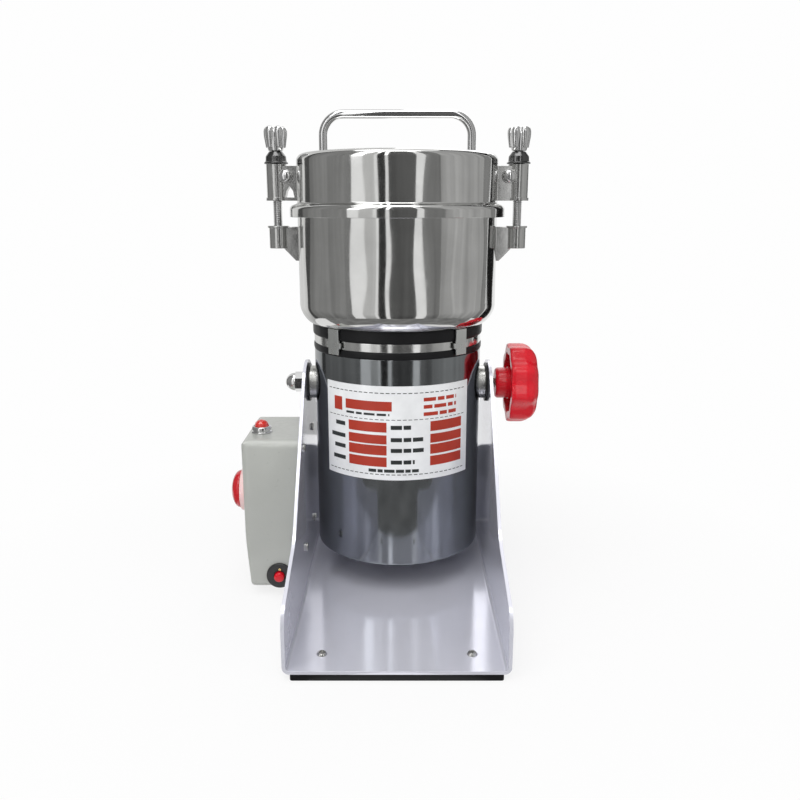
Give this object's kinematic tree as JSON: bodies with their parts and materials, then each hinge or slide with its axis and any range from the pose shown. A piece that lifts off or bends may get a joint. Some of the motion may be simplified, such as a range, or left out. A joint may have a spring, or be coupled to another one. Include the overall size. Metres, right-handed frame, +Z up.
{
  "type": "electric grain mill",
  "caption": "Tilting electric grain mill: motor casing with clamped-lid grinding bowl, hung between the side plates of a bent bracket with a control box.",
  "frame": {"origin": "on the ground under the middle of the outer box", "axes": "+Z up along the mill's axis, -Y to the front where the floor plate reaches out, +X to the locking knob"},
  "size_m": [0.2022, 0.214, 0.308],
  "materials": {
    "bracket_paint": "gloss paint",
    "box_paint": "hammered paint",
    "rubber": "matte",
    "silicone": "satin",
    "black_plastic": "satin",
    "grey_plastic": "satin",
    "white_plastic": "satin",
    "red_plastic": "gloss",
    "amber_lens": "clear gloss",
    "chrome": "mirror",
    "polished_steel": "polished",
    "brushed_steel": "brushed",
    "zinc_steel": "zinc plated",
    "label": "printed film",
    "lamination": "varnished sheet stack",
    "copper": "enamelled copper",
    "cast_aluminium": "as cast",
    "brass": "machined",
    "carbon": "carbon"
  },
  "bodies": {
    "base": {"base_bracket": "bracket_paint", "foot_strips": "rubber", "foot_screws": "zinc_steel", "pivot_bushes": "black_plastic", "box_shell": "box_paint", "box_screws": "zinc_steel", "lamp_bezel": "chrome", "lamp_lens": "amber_lens", "timer_body": "grey_plastic", "timer_dial": "white_plastic", "breaker_body": "black_plastic", "reset_bezel": "black_plastic", "reset_spring": "zinc_steel", "cord_gland": "black_plastic"},
    "timer_knob": {"timer_knob": "red_plastic"},
    "reset_button": {"reset_button": "red_plastic"},
    "mill": {"casing": "polished_steel", "bottom_cover": "brushed_steel", "label_plate": "label", "trunnions": "zinc_steel", "pivot_washer": "brushed_steel", "pivot_bolt": "chrome", "lock_washer": "brushed_steel", "stator_core": "lamination", "field_coils": "copper", "lower_end_shield": "cast_aluminium", "upper_end_shield": "cast_aluminium", "bearings": "zinc_steel", "brush_holders": "brass", "carbon_brushes": "carbon", "tie_bolts": "zinc_steel", "lower_ring": "rubber", "neck_band": "polished_steel", "upper_ring": "rubber", "neck_clips": "chrome", "bowl_bolts": "brushed_steel", "bowl": "polished_steel", "bowl_barrels": "brushed_steel", "shaft_seal": "brass"},
    "rotor": {"rotor_shaft": "zinc_steel", "armature_core": "lamination", "armature_windings": "copper", "commutator": "copper", "cooling_fan": "black_plastic", "lower_blade": "brushed_steel", "blade_spacer": "brushed_steel", "upper_blade": "brushed_steel", "blade_nut": "brushed_steel"},
    "lid": {"lid": "polished_steel", "lid_gasket": "silicone", "handle": "chrome", "handle_nuts": "brushed_steel", "clamp_brackets": "brushed_steel", "bracket_rivets": "chrome"},
    "left_cap": {"left_cap_washer": "chrome"},
    "left_screw": {"left_hand_screw": "chrome"},
    "right_cap": {"right_cap_washer": "chrome"},
    "right_screw": {"right_hand_screw": "chrome"},
    "lock_stud": {"lock_stud": "zinc_steel"},
    "lock_knob": {"lock_knob": "red_plastic"}
  },
  "joints": [
    {"name": "mill_tilt", "type": "hinge", "parent": "base", "child": "mill", "pos_m": [0.00845, 0.037, 0.134], "axis": [1, 0, 0], "range_deg": [-90, 6]},
    {"name": "rotor_spin", "type": "hinge", "parent": "mill", "child": "rotor", "pos_m": [0.00845, 0.037, 0.1], "axis": [0, 0, 1], "continuous": true},
    {"name": "lid_lift", "type": "slide", "parent": "mill", "child": "lid", "axis": [0, 0, 1], "range_m": [0, 0.08]},
    {"name": "left_screw_travel", "type": "slide", "parent": "lid", "child": "left_cap", "axis": [0, 0, 1], "range_m": [0, 0.0101]},
    {"name": "left_screw_turn", "type": "hinge", "parent": "left_cap", "child": "left_screw", "pos_m": [-0.06845, 0.037, 0.26], "axis": [0, 0, 1], "range_deg": [0, 2880]},
    {"name": "right_screw_travel", "type": "slide", "parent": "lid", "child": "right_cap", "axis": [0, 0, 1], "range_m": [0, 0.0101]},
    {"name": "right_screw_turn", "type": "hinge", "parent": "right_cap", "child": "right_screw", "pos_m": [0.08535, 0.037, 0.26], "axis": [0, 0, 1], "range_deg": [0, 2880]},
    {"name": "lock_travel", "type": "slide", "parent": "mill", "child": "lock_stud", "axis": [1, 0, 0], "range_m": [-0.0019, 0.0026]},
    {"name": "lock_turn", "type": "hinge", "parent": "lock_stud", "child": "lock_knob", "pos_m": [0.08845, 0.037, 0.134], "axis": [1, 0, 0], "range_deg": [-540, 720]},
    {"name": "timer_turn", "type": "hinge", "parent": "base", "child": "timer_knob", "pos_m": [-0.08955, 0.011, 0.067], "axis": [1, 0, 0], "range_deg": [0, 300]},
    {"name": "reset_press", "type": "slide", "parent": "base", "child": "reset_button", "axis": [0, 1, 0], "range_m": [0, 0.0025], "stiffness_N_per_m": 400, "springref_m": -0.001}
  ],
  "couplings": [
    {"joint": "left_screw_travel", "follows": "left_screw_turn", "m_per_rad": 0.00019894},
    {"joint": "right_screw_travel", "follows": "right_screw_turn", "m_per_rad": 0.00019894},
    {"joint": "lock_travel", "follows": "lock_turn", "m_per_rad": 0.00019894}
  ]
}
